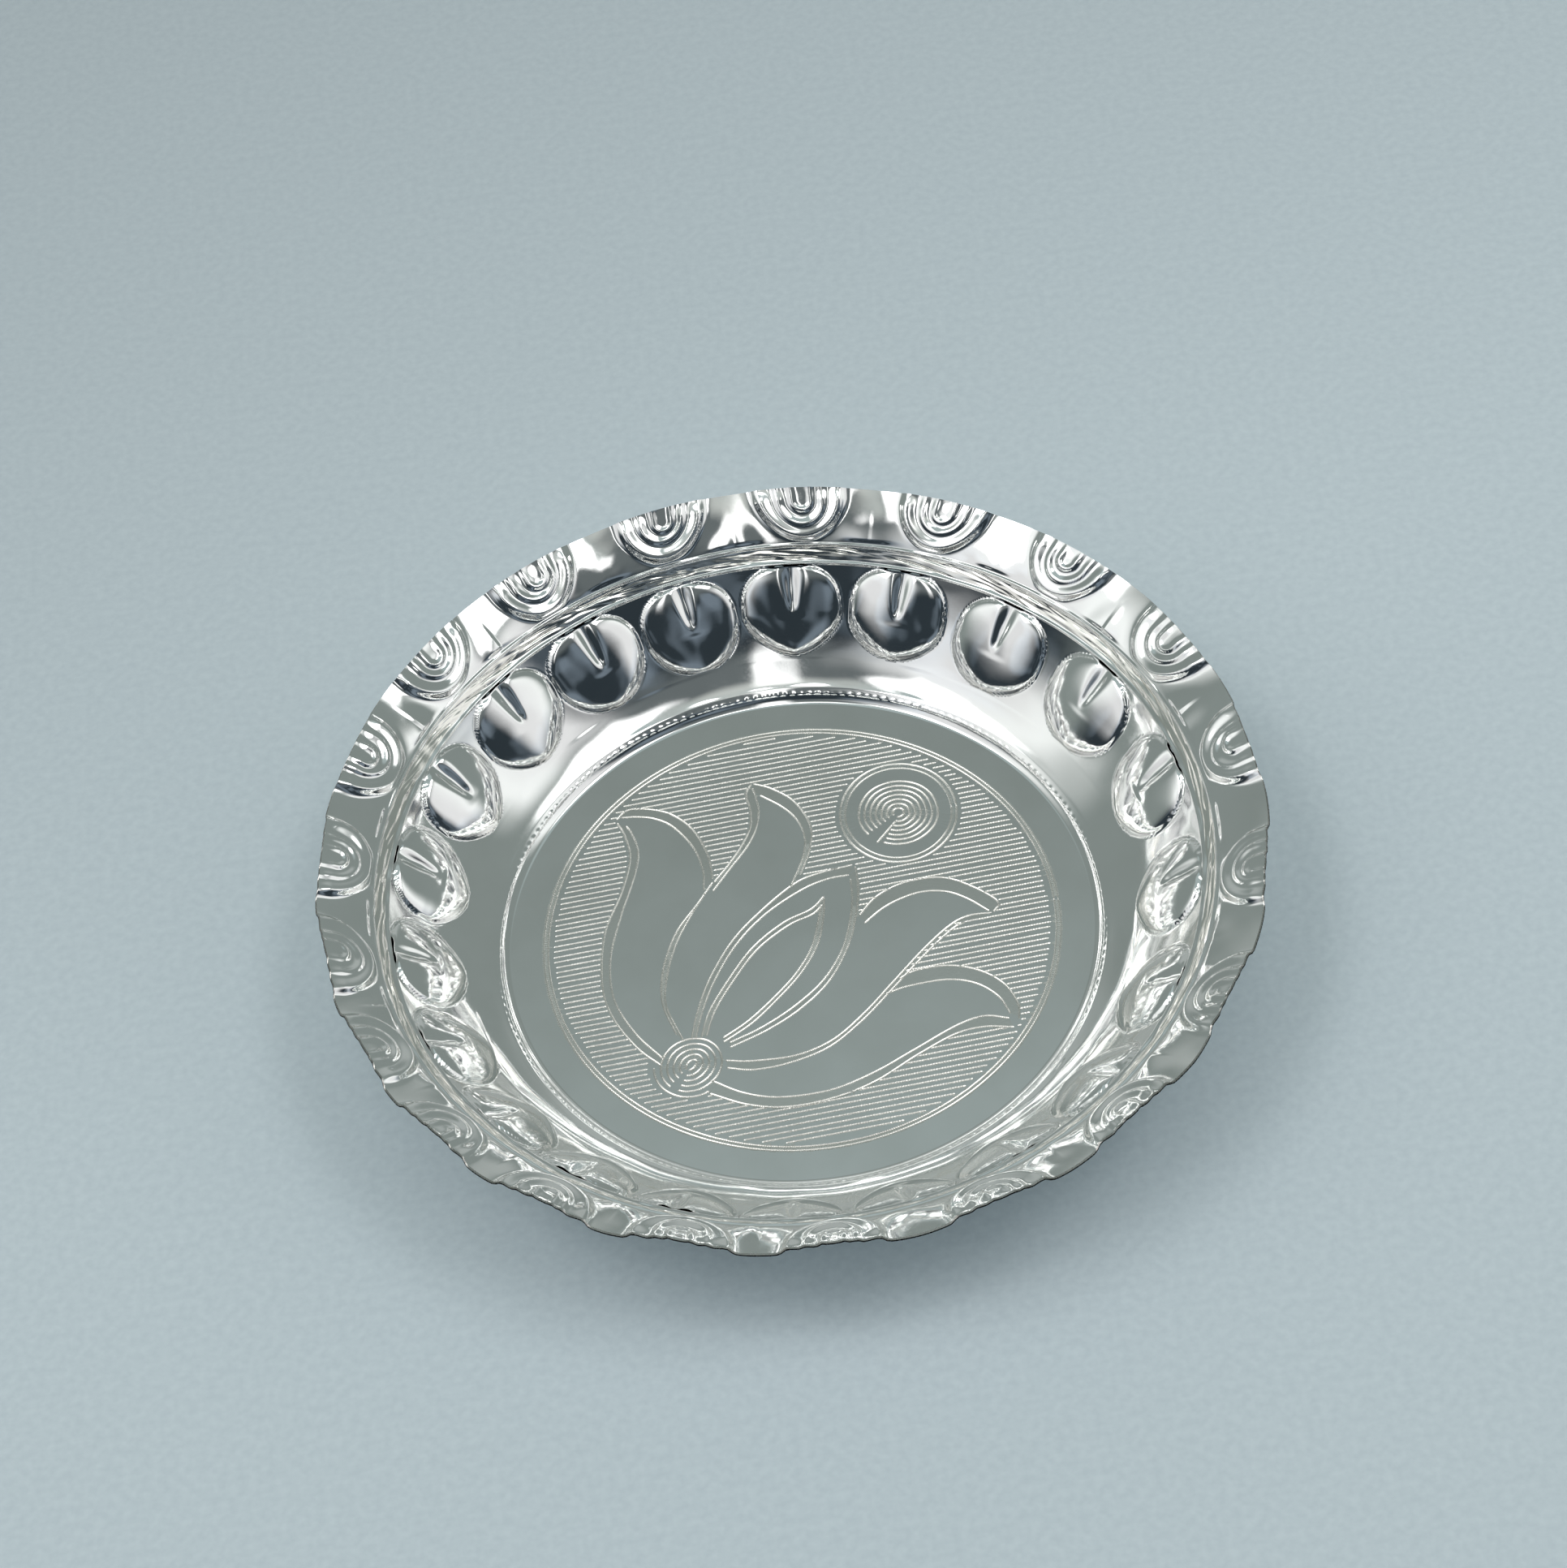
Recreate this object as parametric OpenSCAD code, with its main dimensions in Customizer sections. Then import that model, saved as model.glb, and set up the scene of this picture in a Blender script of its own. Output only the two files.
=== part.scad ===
// Small silver offering plate with an engraved lotus, heart-chased wall and fan-chased rim.
// One pressed sheet, divided at its natural bends into zones that meet face to face.
// Origin: centre of the underside, on the surface that the plate stands on. +Z is up.

/* [Plate] */
// Diameter over the rim's edge
plate_d = 115; // [90:1:180]
// Height of the rim's edge above the surface that the plate stands on
plate_h = 19; // [15.5:0.5:26]
// Thickness of the silver sheet
sheet_t = 0.4; // [0.3:0.05:0.6]

/* [Floor] */
// Width of the plain ring between the engraved disc and the foot step
floor_margin = 3.9; // [2:0.1:8]
// Depth of every engraved line
engrave_depth = 0.12; // [0.05:0.01:0.2]
// Width of the engraved outlines
stroke_w = 0.35; // [0.2:0.05:0.6]
// Width of the engraved border line
border_w = 0.5; // [0.3:0.05:1]

/* [Foot step] */
// Width of the step that raises the plate on its foot
foot_w = 1.9; // [1.5:0.1:3]
// Rise of the foot step
foot_h = 1.4; // [0.8:0.1:2]

/* [Cove] */
// Width of the plain cove between the foot step and the hearts
cove_w = 3.4; // [2.5:0.1:6]
// Rise of the cove
cove_h = 2.1; // [1.2:0.1:3]

/* [Heart wall] */
// Horizontal width of the band of hearts
wall_w = 8; // [6:0.1:12]
// Number of hearts round the wall
heart_count = 21; // [12:1:28]
// Height of each domed heart above the wall
heart_relief = 1.3; // [0.5:0.1:1.6]
// Plain gap between neighbouring hearts
heart_gap = 1.2; // [0.6:0.1:3]
// Width of the cleft between a heart's two lobes
cleft_w = 1.8; // [1:0.1:3]
// Azimuth about which the first heart is set
heart_start = 11.2; // [0:0.1:30]
// How far the hand-set spacing of the hearts drifts once round the plate, in degrees
heart_drift = 5; // [0:0.1:6]
// How far it drifts twice round the plate, in degrees
heart_swing = 1.5; // [0:0.1:3]

/* [Shoulder bead] */
// Horizontal width of the double bead between the hearts and the rim
band_w = 2.1; // [1.6:0.1:3]
// Rise of the double bead
band_h = 2.2; // [1.6:0.1:3]
// Height of the two ridges above the groove between them
bead_relief = 0.3; // [0.1:0.05:0.5]

/* [Rim] */
// Horizontal width of the rim
rim_w = 5.7; // [4.5:0.1:8]
// Rise of the rim
rim_h = 4.1; // [2.5:0.1:5]
// Number of fans round the rim
fan_count = 20; // [12:1:26]
// Height of each fan's ridges above the rim
fan_relief = 0.8; // [0.3:0.1:1]
// Plain facet between neighbouring fans, along the rim's edge
fan_gap = 5.6; // [3:0.1:7]
// Azimuth about which the first fan is set
fan_start = 6.3; // [0:0.1:30]
// How far the hand-set spacing of the fans drifts once round the plate, in degrees
fan_drift = 6.2; // [0:0.1:8]
// How far it drifts twice round the plate, in degrees
fan_swing = 1.6; // [0:0.1:3]
// How much higher the edge stands at a fan than between two fans
ruffle_h = 0.6; // [0:0.1:1]
// How much further out the edge runs between two fans than at a fan
ruffle_w = 0.4; // [0:0.1:1]

/* [Hidden] */
$fn = 180;
SILVER = [0.80, 0.81, 0.82];
BRIGHT = [0.88, 0.89, 0.90];
SHADED = [0.70, 0.72, 0.74];

// Radii of the bends, from the edge inwards
rim_r = plate_d / 2;
band_r = rim_r - rim_w;
wall_r = band_r - band_w;
cove_r = wall_r - wall_w;
step_r = cove_r - cove_w;
floor_r = step_r - foot_w;
medallion_r = floor_r - floor_margin;

// Heights of the bends on the upper surface, from the floor upwards and from the edge downwards
floor_z = sheet_t;
step_z = floor_z + foot_h;
cove_z = step_z + cove_h;
band_z = plate_h - rim_h;
wall_z = band_z - band_h;

// Slopes of the section at the bends
step_slope = 24;
cove_slope = 38;
wall_slope = 55;
band_slope = 42;
edge_slope = 33;

// Each bend of the upper surface: radius, height, slope in degrees
FLOOR_BEND = [floor_r, floor_z, 0];
STEP_BEND = [step_r, step_z, step_slope];
COVE_BEND = [cove_r, cove_z, cove_slope];
WALL_BEND = [wall_r, wall_z, wall_slope];
BAND_BEND = [band_r, band_z, band_slope];
EDGE_BEND = [rim_r, plate_h, edge_slope];

// Steps along a section curve, and rows and columns of the chased reliefs, columns per motif
curve_steps = 10;
heart_cols = 10;
heart_rows = 8;
fan_cols = 14;
fan_rows = 5;
spline_steps = 4;

// Where the drift of the spacing passes through zero
heart_drift_zero = 5;
heart_swing_zero = -28;
fan_drift_zero = 5;
fan_swing_zero = -147;

// A heart's place and shape, as shares of the wall's width or of the heart's own length
heart_foot = 0.04;
heart_length = 0.93;
heart_widest = 0.62;
heart_shoulder = 0.42;
cleft_foot = 0.45;
cleft_run = 0.35;
// Powers that round a heart's flanks and the ends of its dome: less is fuller
flank_power = 0.75;
dome_power = 0.4;

// A fan's U-shaped ridges: their width, and how far above the bead the round ends lie
ridge_w = 0.8;
outer_foot = 0.9;
inner_foot = 2.6;
// Width and height of the inner ridge as shares of the outer one's
inner_width = 0.4;
inner_height = 0.7;
// Share of the rim over which the fans rise from the bead
fan_fade = 0.2;

// Least width that a share is taken of, and how far a cutting solid runs past what it cuts
tiny = 0.001;
over = 1;

// ---- Section curves -------------------------------------------------------------------------

function heading(a) = [cos(a), sin(a)];
function place(bend) = [bend[0], bend[1]];
function handle(a, b) = norm(place(b) - place(a)) / 3;

// Point and slope on the smooth curve that runs from one bend to the next, t from 0 to 1
function curve_point(a, b, t) =
    let (p0 = place(a), p3 = place(b), k = handle(a, b))
    let (p1 = p0 + k * heading(a[2]), p2 = p3 - k * heading(b[2]))
    pow(1 - t, 3) * p0 + 3 * pow(1 - t, 2) * t * p1 + 3 * (1 - t) * t * t * p2 + pow(t, 3) * p3;

function curve_heading(a, b, t) =
    let (p0 = place(a), p3 = place(b), k = handle(a, b))
    let (p1 = p0 + k * heading(a[2]), p2 = p3 - k * heading(b[2]))
    let (d = pow(1 - t, 2) * (p1 - p0) + 2 * (1 - t) * t * (p2 - p1) + t * t * (p3 - p2))
    d / norm(d);

// Unit normal that points in and up, towards the plate's hollow side
function curve_normal(a, b, t) =
    let (d = curve_heading(a, b, t))
    [-d[1], d[0]];

// Closed outline of a sheet zone: upper line with its relief, then the parallel lower line
function sheet_outline(a, b, n, relief) = concat(
    [for (i = [0 : n]) curve_point(a, b, i / n) + relief(i / n) * curve_normal(a, b, i / n)],
    [for (i = [n : -1 : 0]) curve_point(a, b, i / n) + (relief(i / n) - sheet_t) * curve_normal(a, b, i / n)]
);

module plain_zone(a, b) {
    rotate_extrude() polygon(sheet_outline(a, b, curve_steps, function (t) 0));
}

// ---- Chased zones ---------------------------------------------------------------------------

// A ring of sheet with relief, as a closed grid of rows (up the section) and columns (round the axis).
// relief(t, turn) is the height above the section, edge(t, turn) moves a point out and up.
module chased_zone(a, b, rows, cols, azimuth, relief, edge) {
    per_side = (rows + 1) * cols;
    points = [
        for (side = [0, 1])
            for (i = [0 : rows])
                for (j = [0 : cols - 1])
                    let (t = i / rows, turn = 360 * j / cols, w = azimuth(turn))
                    let (lift = relief(t, turn) - side * sheet_t)
                    let (p = curve_point(a, b, t) + lift * curve_normal(a, b, t) + edge(t, turn))
                    [p[0] * cos(w), p[0] * sin(w), p[1]]
    ];
    faces = [
        for (i = [0 : rows - 1])
            for (j = [0 : cols - 1])
                let (p = i * cols + j, q = i * cols + (j + 1) % cols)
                for (f = [[p, q + cols, q], [p, p + cols, q + cols]])
                    f,
        for (i = [0 : rows - 1])
            for (j = [0 : cols - 1])
                let (p = per_side + i * cols + j, q = per_side + i * cols + (j + 1) % cols)
                for (f = [[p, q, q + cols], [p, q + cols, p + cols]])
                    f,
        for (j = [0 : cols - 1])
            let (p = j, q = (j + 1) % cols)
            for (f = [[p, q, q + per_side], [p, q + per_side, p + per_side]])
                f,
        for (j = [0 : cols - 1])
            let (p = rows * cols + j, q = rows * cols + (j + 1) % cols)
            for (f = [[p, q + per_side, q], [p, p + per_side, q + per_side]])
                f
    ];
    polyhedron(points, faces);
}

// Azimuths of a point at a turn of the pattern, with the hand-set drift of the spacing
function heart_azimuth(turn) =
    heart_start + turn + heart_drift * sin(turn - heart_drift_zero)
    + heart_swing * sin(2 * turn - heart_swing_zero);
function fan_azimuth(turn) =
    fan_start + turn + fan_drift * sin(turn - fan_drift_zero) + fan_swing * sin(2 * turn - fan_swing_zero);

// Signed angle from the middle of the nearest motif
function from_middle(turn, count) =
    let (pitch = 360 / count)
    let (k = round(turn / pitch))
    turn - k * pitch;

function smooth(x) =
    let (c = min(1, max(0, x)))
    c * c * (3 - 2 * c);

// Half-width of a heart at height s of its own length, as a share of its greatest half-width
function heart_share(s) =
    s < heart_widest
        ? pow(sin(90 * s / heart_widest), flank_power)
        : sqrt(1 - pow((s - heart_widest) / heart_shoulder, 2));

// Height of the hearts above the wall; t runs up the wall
function heart_lift(t, turn) =
    let (s = min(1, max(0, (t - heart_foot) / heart_length)))
    let (r = cove_r + t * wall_w)
    let (half = (2 * PI * r / heart_count - heart_gap) / 2)
    let (x = abs(from_middle(turn, heart_count)) * PI / 180 * r)
    let (q = min(1, x / max(tiny, half * heart_share(s))))
    let (dome = sqrt(1 - q * q) * pow(sin(180 * s), dome_power))
    let (cleft = exp(-pow(x / (cleft_w / 2), 2)) * smooth((s - cleft_foot) / cleft_run))
    heart_relief * dome * (1 - cleft);

// Distance across a U-shaped ridge of half-width half, whose round end lies foot above the bead
function u_distance(x, y, half, foot) =
    y > foot + half ? abs(abs(x) - half) : abs(norm([x, foot + half - y]) - half);

// Height of the fans above the rim; t runs out to the edge
function fan_lift(t, turn) =
    let (r = band_r + t * rim_w, y = t * norm([rim_w, rim_h]))
    let (half = (2 * PI * rim_r / fan_count - fan_gap) / 2)
    let (x = from_middle(turn, fan_count) * PI / 180 * r)
    let (outer = exp(-pow(u_distance(x, y, half - ridge_w, outer_foot) / ridge_w, 2)))
    let (inner = inner_height * exp(-pow(u_distance(x, y, half * inner_width, inner_foot) / ridge_w, 2)))
    fan_relief * max(outer, inner) * smooth(t / fan_fade);

// The ruffled edge: at a fan it stands higher and further in
function ruffle(t, turn) =
    let (wave = cos(fan_count * turn) / 2 * t * t)
    [-ruffle_w * wave, ruffle_h * wave];

// ---- Engraving ------------------------------------------------------------------------------

// Points on the smooth curve through a list of points
function spline_point(p, i, t) =
    let (n = len(p) - 1)
    let (a = p[max(0, i - 1)], b = p[i], c = p[i + 1], d = p[min(n, i + 2)])
    0.5 * (2 * b + (c - a) * t + (2 * a - 5 * b + 4 * c - d) * t * t + (3 * b - a - 3 * c + d) * t * t * t);
function spline(p) = concat(
    [for (i = [0 : len(p) - 2]) for (k = [0 : spline_steps - 1]) spline_point(p, i, k / spline_steps)],
    [p[len(p) - 1]]
);

// A stroke of constant width along a curve
function side_of(line, i) =
    let (d = line[min(len(line) - 1, i + 1)] - line[max(0, i - 1)])
    [-d[1], d[0]] / norm(d);
module stroke(points) {
    line = spline(points);
    n = len(line) - 1;
    left = [for (i = [0 : n]) line[i] + side_of(line, i) * stroke_w / 2];
    right = [for (i = [n : -1 : 0]) line[i] - side_of(line, i) * stroke_w / 2];
    polygon(concat(left, right));
}

// Outlines of the lotus, drawn for an engraved disc of 32.5 radius and scaled to the disc
drawn_r = 32.5;
LOTUS = [
    // first petal: outer side, then outer shoulder
    [[-18.8, -17.4], [-21.8, -14.1], [-24.4, -9], [-25.3, -3.9], [-24.4, 3.6], [-21.8, 9.7], [-20.2, 15],
        [-20.5, 18.5], [-21.4, 20.7]],
    [[-21.4, 20.9], [-20, 22.6], [-17.5, 22.5], [-14.4, 21], [-11.6, 17.5], [-10.4, 13.3], [-10.3, 9.3]],
    // second petal: side shared with the first, then outer shoulder
    [[-16, -14.2], [-17.9, -8.3], [-17.6, -4], [-15.1, 2.5], [-11.2, 7.4], [-7.9, 12], [-5, 16.6],
        [-4.5, 21], [-3.9, 24]],
    [[-3.8, 24.1], [-1.2, 22.9], [1.5, 20.2], [2.9, 16], [2.3, 12.2], [0.4, 8.2]],
    // middle petal
    [[-14.9, -13.8], [-13.3, -8.2], [-10, -1.8], [-4.9, 3.6], [1.3, 7.2], [7.6, 9]],
    [[7.7, 8.8], [7.7, 4.4], [6, -2.2], [2, -8.7], [-3.6, -13], [-10.5, -15.9]],
    // leaf inside the middle petal
    [[-13.6, -13.8], [-11, -8], [-6.8, -2.2], [-1.5, 1.8], [3.3, 4.4]],
    [[3.4, 4.5], [2.6, 0], [-0.6, -6.2], [-5.7, -11.3], [-11, -15]],
    // fourth petal: outer shoulder, then lower side
    [[7.3, 1.2], [10.4, 4.2], [15.5, 5.7], [20, 4.8], [23.4, 2.2], [24.8, 0.2], [23.8, -0.9]],
    [[23.7, -0.9], [19.6, -1.2], [15.7, -4.3], [10.2, -9.6], [5.4, -14.3], [0, -17.6], [-5.8, -19.2],
        [-11.2, -18.2]],
    // fifth petal: outer shoulder, then lower side
    [[11.4, -8.7], [15, -7.9], [19.6, -8.7], [23.2, -11.2], [25.1, -15], [24.7, -17.4]],
    [[24.1, -18.2], [20.6, -16.8], [16.3, -17.8], [9.3, -21.6], [2.2, -24.5], [-5, -25], [-10.1, -23.2],
        [-13.8, -20.6]]
];
SUN = [14.2, 16.6];
sun_r = 7.6;
sun_rings = [1, 1.8, 2.6, 3.4, 4.2, 5];
CALYX = [-15.4, -17.7];
calyx_rings = [0.9, 1.7, 2.5, 3.3, 4.1];

module circle_groove(r, w) {
    difference() {
        cylinder(h = engrave_depth + over, r = r + w / 2);
        translate([0, 0, -over]) cylinder(h = engrave_depth + 3 * over, r = r - w / 2);
    }
}

module engraving() {
    k = medallion_r / drawn_r;
    for (line = LOTUS)
        linear_extrude(engrave_depth + over) stroke(line * k);
    translate([SUN[0] * k, SUN[1] * k, 0]) {
        circle_groove(sun_r * k, stroke_w);
        for (r = sun_rings)
            circle_groove(r * k, stroke_w);
    }
    translate([CALYX[0] * k, CALYX[1] * k, 0])
        for (r = calyx_rings)
            circle_groove(r * k, stroke_w);
    circle_groove(medallion_r - border_w, border_w);
}

// ---- Nodes ----------------------------------------------------------------------------------

// The engraved disc in the middle of the floor
module medallion_disc() {
    color(BRIGHT)
        difference() {
            cylinder(h = sheet_t, r = medallion_r);
            translate([0, 0, floor_z - engrave_depth]) engraving();
        }
}

// The plain mirror-polished ring round the engraved disc
module floor_ring() {
    color(SILVER)
        difference() {
            cylinder(h = sheet_t, r = floor_r);
            translate([0, 0, -over]) cylinder(h = sheet_t + 2 * over, r = medallion_r);
        }
}

// The small S-shaped step that the plate stands up on
module foot_step() {
    color(BRIGHT) plain_zone(FLOOR_BEND, STEP_BEND);
}

// The plain cove from the step to the points of the hearts
module cove_band() {
    color(SILVER) plain_zone(STEP_BEND, COVE_BEND);
}

// The wall of domed hearts, points down
module heart_wall() {
    color(BRIGHT)
        chased_zone(COVE_BEND, WALL_BEND, heart_rows, heart_count * heart_cols,
            function (turn) heart_azimuth(turn),
            function (t, turn) heart_lift(t, turn),
            function (t, turn) [0, 0]);
}

// Two smooth ridges with a hammered groove between them
module shoulder_bead() {
    ridges = function (t) bead_relief * pow(sin(360 * t), 2);
    color(SHADED) rotate_extrude() polygon(sheet_outline(WALL_BEND, BAND_BEND, curve_steps * 2, ridges));
}

// The flared rim of fans with its ruffled edge
module fan_rim() {
    color(SILVER)
        chased_zone(BAND_BEND, EDGE_BEND, fan_rows, fan_count * fan_cols,
            function (turn) fan_azimuth(turn),
            function (t, turn) fan_lift(t, turn),
            function (t, turn) ruffle(t, turn));
}

medallion_disc();
floor_ring();
foot_step();
cove_band();
heart_wall();
shoulder_bead();
fan_rim();
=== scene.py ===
"""A small silver offering plate: engraved floor, chased hearts, hammered bead and ruffled fan rim.

Every zone of the one sheet is a closed mesh of sheet thickness that stands in for its CAD node.
Geometry is worked out in millimetres and set down in metres, in the CAD frame.
"""
import math

import bpy
import numpy as np
from mathutils import Matrix, Vector, geometry, kdtree


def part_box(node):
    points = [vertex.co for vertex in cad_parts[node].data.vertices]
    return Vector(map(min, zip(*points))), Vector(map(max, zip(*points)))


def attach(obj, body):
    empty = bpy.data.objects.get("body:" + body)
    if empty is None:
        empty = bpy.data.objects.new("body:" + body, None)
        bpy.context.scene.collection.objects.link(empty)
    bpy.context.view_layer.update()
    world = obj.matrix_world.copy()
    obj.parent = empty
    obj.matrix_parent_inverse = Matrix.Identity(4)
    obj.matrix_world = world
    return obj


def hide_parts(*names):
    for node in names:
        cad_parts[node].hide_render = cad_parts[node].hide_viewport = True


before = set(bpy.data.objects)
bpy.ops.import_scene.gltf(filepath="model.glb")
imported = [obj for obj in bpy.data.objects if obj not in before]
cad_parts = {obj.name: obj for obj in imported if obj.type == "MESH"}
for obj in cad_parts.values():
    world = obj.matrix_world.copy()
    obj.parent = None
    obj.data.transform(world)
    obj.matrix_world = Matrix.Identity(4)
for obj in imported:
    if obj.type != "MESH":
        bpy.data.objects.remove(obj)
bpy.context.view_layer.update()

MM = 0.001
TAU = 2 * math.pi
SEED = 11

# ---- Sizes, in millimetres ----------------------------------------------------------------------


def furthest(node):
    """Furthest point of a CAD node along +X."""
    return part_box(node)[1].x / MM


SHEET_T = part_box("floor_ring")[1].z / MM
# The slopes at the bends, in degrees, and the rim's own size repeat the CAD's values
STEP_SLOPE, COVE_SLOPE, WALL_SLOPE, BAND_SLOPE, EDGE_SLOPE = 24, 38, 55, 42, 33
RIM_W, RIM_H = 5.7, 4.1


def bend(node, above, slope):
    """The bend of the upper surface between a node and the one above it: radius, height, slope."""
    lean = math.radians(slope)
    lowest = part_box(above)[0].z / MM
    return furthest(node) - SHEET_T * math.sin(lean), lowest + SHEET_T * math.cos(lean), slope


MEDALLION_R = furthest("medallion_disc")
DISC = (MEDALLION_R, SHEET_T, 0)
FLOOR = (furthest("floor_ring"), SHEET_T, 0)
STEP = bend("foot_step", "cove_band", STEP_SLOPE)
COVE = bend("cove_band", "heart_wall", COVE_SLOPE)
WALL = bend("heart_wall", "shoulder_bead", WALL_SLOPE)
BAND = bend("shoulder_bead", "fan_rim", BAND_SLOPE)
EDGE = (BAND[0] + RIM_W, BAND[1] + RIM_H, EDGE_SLOPE)

# ---- Section and pattern ------------------------------------------------------------------------


def section(a, b, t):
    """Points, and unit normals towards the hollow side, on the smooth curve between two bends."""
    t = np.asarray(t, float)[..., None]
    p0, p3 = np.array(a[:2]), np.array(b[:2])
    handle = np.linalg.norm(p3 - p0) / 3
    start, end = math.radians(a[2]), math.radians(b[2])
    p1 = p0 + handle * np.array([math.cos(start), math.sin(start)])
    p2 = p3 - handle * np.array([math.cos(end), math.sin(end)])
    points = (1 - t) ** 3 * p0 + 3 * (1 - t) ** 2 * t * p1 + 3 * (1 - t) * t**2 * p2 + t**3 * p3
    along = (1 - t) ** 2 * (p1 - p0) + 2 * (1 - t) * t * (p2 - p1) + t**2 * (p3 - p2)
    along /= np.linalg.norm(along, axis=-1, keepdims=True)
    return points, np.stack([-along[..., 1], along[..., 0]], -1)


def smooth(x):
    """A soft step from 0 at x = 0 to 1 at x = 1."""
    x = np.clip(x, 0, 1)
    return x * x * (3 - 2 * x)


def bump(x, width):
    """A soft hump, 1 at x = 0."""
    return np.exp(-((x / width) ** 2))


class Motif:
    """A motif repeated round the plate with the uneven spacing of hand work.

    Angles are in degrees. The motifs are even in turn; drift and swing carry that into the azimuth
    by one slow wave round the plate and two. random has eight small differences for every motif.
    """

    def __init__(self, count, start, drift, drift_phase, swing, swing_phase, seed):
        self.count, self.start = count, start
        self.drift, self.drift_phase = drift, drift_phase
        self.swing, self.swing_phase = swing, swing_phase
        self.random = np.random.default_rng(seed).uniform(-1, 1, (8, count))

    def azimuth(self, turn):
        one = self.drift * np.sin(np.radians(turn + self.drift_phase))
        two = self.swing * np.sin(np.radians(2 * turn + self.swing_phase))
        return self.start + turn + one + two

    def local(self, turn, radius):
        """Distance from the nearest motif's middle, that motif's number, and the local pitch."""
        pitch = 360 / self.count
        number = np.round(turn / pitch)
        middle = self.azimuth(number * pitch)
        x = np.radians(self.azimuth(turn) - middle) * radius
        ahead = self.azimuth((number + 0.5) * pitch) - self.azimuth((number - 0.5) * pitch)
        return x, number.astype(int) % self.count, np.radians(ahead) * radius


HEARTS = Motif(count=21, start=11.2, drift=5.0, drift_phase=-5, swing=1.5, swing_phase=28,
               seed=SEED)
FANS = Motif(count=20, start=6.3, drift=6.2, drift_phase=-5, swing=1.6, swing_phase=147,
             seed=SEED + 1)


DENT_WAVES = 14


def dents(points, size, seed):
    """Soft uneven places of hand-worked sheet, between about -1 and 1. points is (..., 3) in mm."""
    rng = np.random.default_rng(seed)
    total = np.zeros(points.shape[:-1])
    for _ in range(DENT_WAVES):
        wave = rng.normal(size=3)
        wave *= TAU / (size * rng.uniform(0.7, 1.6)) / np.linalg.norm(wave)
        total += np.sin(points @ wave + rng.uniform(0, TAU))
    return total / math.sqrt(DENT_WAVES)


# ---- Relief of the chased zones, in mm above the section ----------------------------------------

HEART_RELIEF, HEART_GAP, HEART_WIDEST = 1.65, 0.8, 0.52
HEART_FOOT, HEART_SPAN, HEART_END = 0.02, 0.95, 1.04
HEART_HALF_MIN, HEART_HALF_MAX = 4.0, 6.4
CLEFT_TIP = 0.46


def heart_share(s, blunt):
    """Half-width of a heart at height s of its length, as a share of its greatest half-width."""
    low = np.sin(np.clip(s / HEART_WIDEST, 0, 1) * math.pi / 2) ** blunt
    above = np.clip((s - HEART_WIDEST) / (HEART_END - HEART_WIDEST), 0, 1)
    high = np.clip(1 - above**3, 0, 1) ** 0.42
    return np.where(s < HEART_WIDEST, low, high)


def heart_lift(t, turn, radius):
    """The domed hearts, points down: s runs up a heart and u across its half-width."""
    x, number, pitch = HEARTS.local(turn, radius)
    vary = HEARTS.random[:, number]
    s = (t - HEART_FOOT) / HEART_SPAN + 0.015 * vary[0]
    half = np.clip((pitch - HEART_GAP) / 2, HEART_HALF_MIN, HEART_HALF_MAX) * (1 + 0.03 * vary[1])
    x = x + 0.35 * vary[2] * (s - 0.4)
    u = x / half
    share = heart_share(s, 0.45 + 0.09 * vary[6])
    within = np.clip(share**2 - u**2, 0, 1) * (s > 0)
    flank = (np.abs(u) - share) * half
    round_part = within / np.maximum(share, 0.05) ** 2
    swell = np.sin(math.pi * np.clip(0.08 + 0.84 * s, 0, 1))
    dome = 0.52 * round_part**0.36 * share**0.5 + 0.48 * round_part * swell
    # the cleft between the lobes: a wedge, wide and deep at the top, with a small tongue in it
    tip = CLEFT_TIP + 0.02 * vary[3]
    rise = np.clip((s - tip) / (1 - tip), 0, 1)
    shift = x - 0.25 * vary[4]
    valley = bump(shift, 0.38 + 0.7 * rise) * smooth((s - tip) / 0.16) * (0.1 + 0.5 * rise)
    tongue = 0.08 * bump(shift, 0.25) * bump(s - 0.74, 0.1)
    # the small pinch that crosses the heart below the cleft
    pinch = 0.06 * smooth((s - tip + 0.06) / 0.07) * (1 - smooth((s - tip) / 0.2)) * bump(x, 1.5)
    lift = HEART_RELIEF * (1 + 0.08 * vary[5]) * dome * (1 - valley) + tongue
    lift = lift - pinch * smooth(within / 0.2)
    # the fine line punched round the outline
    body = smooth(s / 0.08) * (1 - smooth((s - 0.93) / 0.07))
    return lift - 0.04 * bump(flank - 0.1, 0.16) * body


CREASE_AT, CREASE_WIDTH, CREASE_RELIEF = 0.66, 0.09, 0.075


def crease_lift(t, turn, radius):
    """The narrow tooled line that runs round the foot step."""
    uneven = np.sin(np.radians(97 * turn)) * np.sin(np.radians(61 * turn + 40))
    uneven = uneven + np.sin(np.radians(211 * turn))
    return CREASE_RELIEF * (1 + 0.2 * uneven) * bump(t - CREASE_AT - 0.012 * uneven, CREASE_WIDTH)


RIDGE_SHARE, BEAD_RELIEF = 0.22, 0.28


def bead_lift(t, turn, radius):
    """Two smooth ridges that give way to the hearts and fans, with a hammered groove between."""
    wander = np.cos(np.radians(FANS.count * turn)) + np.sin(np.radians(13 * turn))
    wander = wander + np.sin(np.radians(31 * turn))
    sway = 0.028 * wander * smooth(t * 2) * smooth(2 - 2 * t)
    e = np.minimum(t + sway, 1 - t - sway)
    ridges = BEAD_RELIEF * np.where(e < RIDGE_SHARE, np.sin(math.pi * e / RIDGE_SHARE) ** 2, 0)
    return ridges + hammered(t, radius)


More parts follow.
